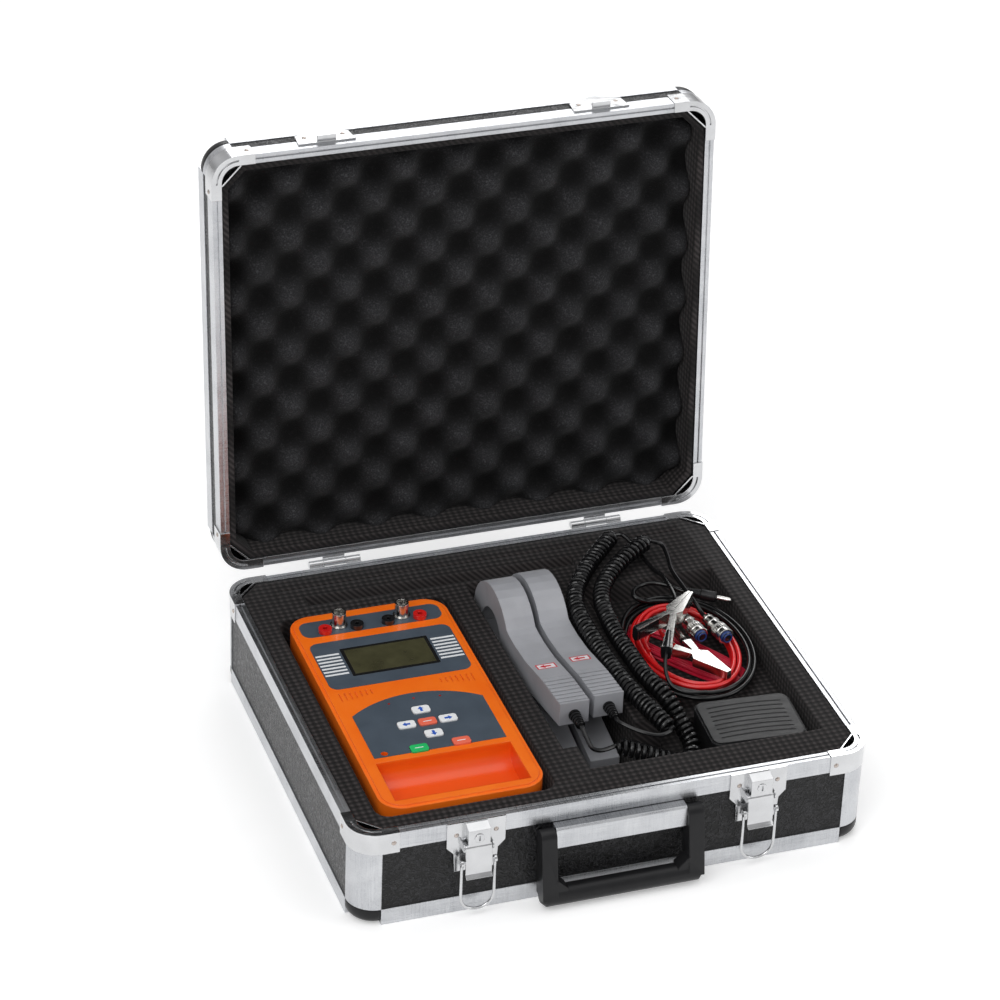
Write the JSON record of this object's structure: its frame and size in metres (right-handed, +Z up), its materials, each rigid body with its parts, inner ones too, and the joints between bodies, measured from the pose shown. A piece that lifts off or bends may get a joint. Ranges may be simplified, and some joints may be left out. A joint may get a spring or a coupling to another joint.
{
  "type": "ground resistance tester",
  "caption": "Handheld tester with clamps, cords and leads in a hinged aluminium-edged carry case lined with foam",
  "frame": {"origin": "middle of the case's underside, on the table", "axes": "+Z up, -Y towards the handle and latches, +X to the right seen from the front"},
  "size_m": [0.4434, 0.4855, 0.4809],
  "materials": {
    "aluminium_edge": "brushed",
    "abs_panel": "embossed",
    "steel_clip": "bright",
    "black_plastic": "satin",
    "copper_rivet": "satin",
    "tray_foam": "embossed foam",
    "crate_foam": "open foam",
    "orange_body": "satin",
    "overlay": "satin",
    "lcd": "gloss",
    "red_plastic": "gloss",
    "black_gloss": "gloss",
    "nickel": "bright",
    "white_key": "satin",
    "salmon_key": "satin",
    "green_key": "satin",
    "grey_clamp": "satin",
    "cord_rubber": "gloss",
    "red_cord": "gloss",
    "pink_wire": "gloss"
  },
  "bodies": {
    "case": {"base_rim": "aluminium_edge", "base_frame": "aluminium_edge", "base_panels": "abs_panel", "base_corner_clips": "steel_clip", "base_corner_caps": "black_plastic", "base_rivets": "copper_rivet", "base_foam": "tray_foam", "base_hinge_leaves": "steel_clip", "latch_plates": "steel_clip", "handle_bracket": "aluminium_edge"},
    "handle": {"carry_handle": "black_plastic"},
    "lid": {"lid_rim": "aluminium_edge", "lid_frame": "aluminium_edge", "lid_panels": "abs_panel", "lid_corner_clips": "steel_clip", "lid_corner_caps": "black_plastic", "lid_rivets": "copper_rivet", "lid_lining": "tray_foam", "lid_eggcrate_foam": "crate_foam", "lid_catches": "steel_clip", "lid_hinge_leaves": "steel_clip"},
    "left_lever": {"left_latch_lever": "steel_clip"},
    "right_lever": {"right_latch_lever": "steel_clip"},
    "left_bail": {"left_latch_bail": "steel_clip"},
    "right_bail": {"right_latch_bail": "steel_clip"},
    "tester": {"tester_body": "orange_body", "tester_overlays": "overlay", "lcd_window": "lcd", "red_jacks": "red_plastic", "black_jacks": "black_gloss", "aviation_sockets": "nickel"},
    "accessories": {"left_clamp_lower": "grey_clamp", "right_clamp_lower": "grey_clamp", "left_cord_lead": "cord_rubber", "left_cord_coil": "cord_rubber", "right_cord_lead": "cord_rubber", "right_cord_coil": "cord_rubber", "cord_tails": "cord_rubber", "aviation_plugs": "nickel", "red_lead_coil": "red_cord", "black_lead_coil": "cord_rubber", "earth_wire_hank": "pink_wire", "lead_ends": "cord_rubber", "lead_plug": "black_plastic", "clip_frames": "nickel"},
    "left_clamp_top": {"left_clamp_upper": "grey_clamp", "left_clamp_relief": "cord_rubber"},
    "right_clamp_top": {"right_clamp_upper": "grey_clamp", "right_clamp_relief": "cord_rubber"},
    "black_clip": {"black_clip_jaw": "nickel"},
    "silver_clip": {"silver_clip_jaw": "nickel"},
    "charger_body": {"charger": "black_plastic"},
    "rod": {"earth_rod": "nickel"},
    "up_key_cap": {"up_key": "white_key"},
    "down_key_cap": {"down_key": "white_key"},
    "left_key_cap": {"left_key": "white_key"},
    "right_key_cap": {"right_key": "white_key"},
    "centre_key_cap": {"centre_key": "salmon_key"},
    "test_key_cap": {"test_key": "green_key"},
    "power_key_cap": {"power_key": "salmon_key"}
  },
  "joints": [
    {"name": "lid_hinge", "type": "hinge", "parent": "case", "child": "lid", "pos_m": [0, 0.1965, 0.0888], "axis": [-1, 0, 0], "range_deg": [-94.4, 0], "deforming": ["lid_eggcrate_foam"]},
    {"name": "handle_swing", "type": "hinge", "parent": "case", "child": "handle", "pos_m": [0, -0.1982, 0.0641], "axis": [-1, 0, 0], "range_deg": [0, 90]},
    {"name": "left_lever_turn", "type": "hinge", "parent": "case", "child": "left_lever", "pos_m": [-0.12, -0.1978, 0.0667], "axis": [-1, 0, 0], "range_deg": [0, 80]},
    {"name": "left_bail_turn", "type": "hinge", "parent": "left_lever", "child": "left_bail", "pos_m": [-0.12, -0.1996, 0.0537], "axis": [-1, 0, 0], "range_deg": [0, 110]},
    {"name": "right_lever_turn", "type": "hinge", "parent": "case", "child": "right_lever", "pos_m": [0.12, -0.1978, 0.0667], "axis": [-1, 0, 0], "range_deg": [0, 80]},
    {"name": "right_bail_turn", "type": "hinge", "parent": "right_lever", "child": "right_bail", "pos_m": [0.12, -0.1996, 0.0537], "axis": [-1, 0, 0], "range_deg": [0, 110]},
    {"name": "tester_lift", "type": "slide", "parent": "case", "child": "tester", "axis": [0, 0, 1], "range_m": [0, 0.15]},
    {"name": "up_key_press", "type": "slide", "parent": "tester", "child": "up_key_cap", "axis": [0, 0, -1], "range_m": [0, 0.0005], "stiffness_N_per_m": 400},
    {"name": "down_key_press", "type": "slide", "parent": "tester", "child": "down_key_cap", "axis": [0, 0, -1], "range_m": [0, 0.0005], "stiffness_N_per_m": 400},
    {"name": "left_key_press", "type": "slide", "parent": "tester", "child": "left_key_cap", "axis": [0, 0, -1], "range_m": [0, 0.0005], "stiffness_N_per_m": 400},
    {"name": "right_key_press", "type": "slide", "parent": "tester", "child": "right_key_cap", "axis": [0, 0, -1], "range_m": [0, 0.0005], "stiffness_N_per_m": 400},
    {"name": "centre_key_press", "type": "slide", "parent": "tester", "child": "centre_key_cap", "axis": [0, 0, -1], "range_m": [0, 0.0005], "stiffness_N_per_m": 400},
    {"name": "test_key_press", "type": "slide", "parent": "tester", "child": "test_key_cap", "axis": [0, 0, -1], "range_m": [0, 0.0005], "stiffness_N_per_m": 400},
    {"name": "power_key_press", "type": "slide", "parent": "tester", "child": "power_key_cap", "axis": [0, 0, -1], "range_m": [0, 0.0005], "stiffness_N_per_m": 400},
    {"name": "accessories_lift", "type": "slide", "parent": "case", "child": "accessories", "axis": [0, 0, 1], "range_m": [0, 0.15]},
    {"name": "left_clamp_open", "type": "hinge", "parent": "accessories", "child": "left_clamp_top", "pos_m": [-0.00252, 0.02002, 0.067], "axis": [1, 0, 0], "range_deg": [0, 20], "stiffness_Nm_per_rad": 1.2, "springref_deg": -20.05, "deforming": ["left_cord_lead"]},
    {"name": "right_clamp_open", "type": "hinge", "parent": "accessories", "child": "right_clamp_top", "pos_m": [0.02848, 0.02342, 0.067], "axis": [1, 0, 0], "range_deg": [0, 20], "stiffness_Nm_per_rad": 1.2, "springref_deg": -20.05, "deforming": ["right_cord_lead"]},
    {"name": "black_clip_open", "type": "hinge", "parent": "accessories", "child": "black_clip", "pos_m": [0.123, 0.017, 0.1021], "axis": [0, 0, 1], "range_deg": [0, 20], "stiffness_Nm_per_rad": 0.3, "springref_deg": -17.19},
    {"name": "silver_clip_open", "type": "hinge", "parent": "accessories", "child": "silver_clip", "pos_m": [0.131, -0.022, 0.0866], "axis": [0, 0, 1], "range_deg": [0, 8], "stiffness_Nm_per_rad": 0.3, "springref_deg": -17.19},
    {"name": "charger_lift", "type": "slide", "parent": "case", "child": "charger_body", "axis": [0, 0, 1], "range_m": [0, 0.15]},
    {"name": "rod_lift", "type": "slide", "parent": "case", "child": "rod", "axis": [0, 0, 1], "range_m": [0, 0.15]}
  ]
}
